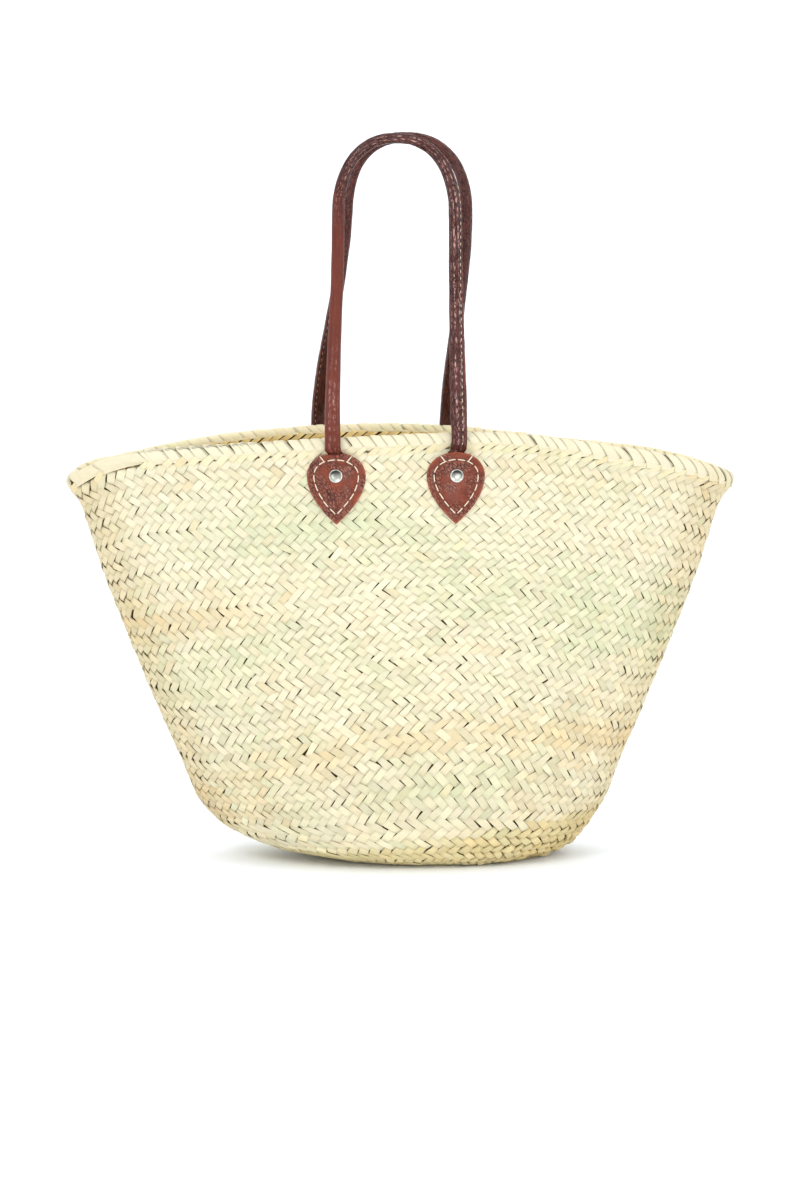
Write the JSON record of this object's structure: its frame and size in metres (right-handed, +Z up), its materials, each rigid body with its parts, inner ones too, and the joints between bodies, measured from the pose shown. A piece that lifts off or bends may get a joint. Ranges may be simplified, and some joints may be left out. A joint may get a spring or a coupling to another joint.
{
  "type": "straw basket bag",
  "caption": "Open oval market basket bag of plaited palm leaf with a bound rim and two long round leather handles on riveted teardrop patches.",
  "frame": {"origin": "on the floor under the middle of the bag's box, at the level of the flat base", "axes": "+X along the mouth to the wearer's right as seen from the front, +Y to the back, +Z up; the front wall faces -Y"},
  "size_m": [0.5454, 0.2028, 0.5918],
  "materials": {
    "palm_weave": "dry plaited palm leaf, cream with pale green and tan strands",
    "palm_rim": "broad palm leaf strips wrapped slantwise round the rim",
    "handle_leather": "glossy wrinkled reddish brown leather with a stitched seam",
    "patch_leather": "glossy grained reddish brown leather with cream stitches",
    "rivet_metal": "polished domed metal, lightly worn"
  },
  "bodies": {
    "root": {"woven_body": "palm_weave", "rim_binding": "palm_rim", "front_handle": "handle_leather", "back_handle": "handle_leather", "front_left_patch": "patch_leather", "front_right_patch": "patch_leather", "back_left_patch": "patch_leather", "back_right_patch": "patch_leather", "front_left_rivet": "rivet_metal", "front_right_rivet": "rivet_metal", "back_left_rivet": "rivet_metal", "back_right_rivet": "rivet_metal"}
  },
  "joints": []
}
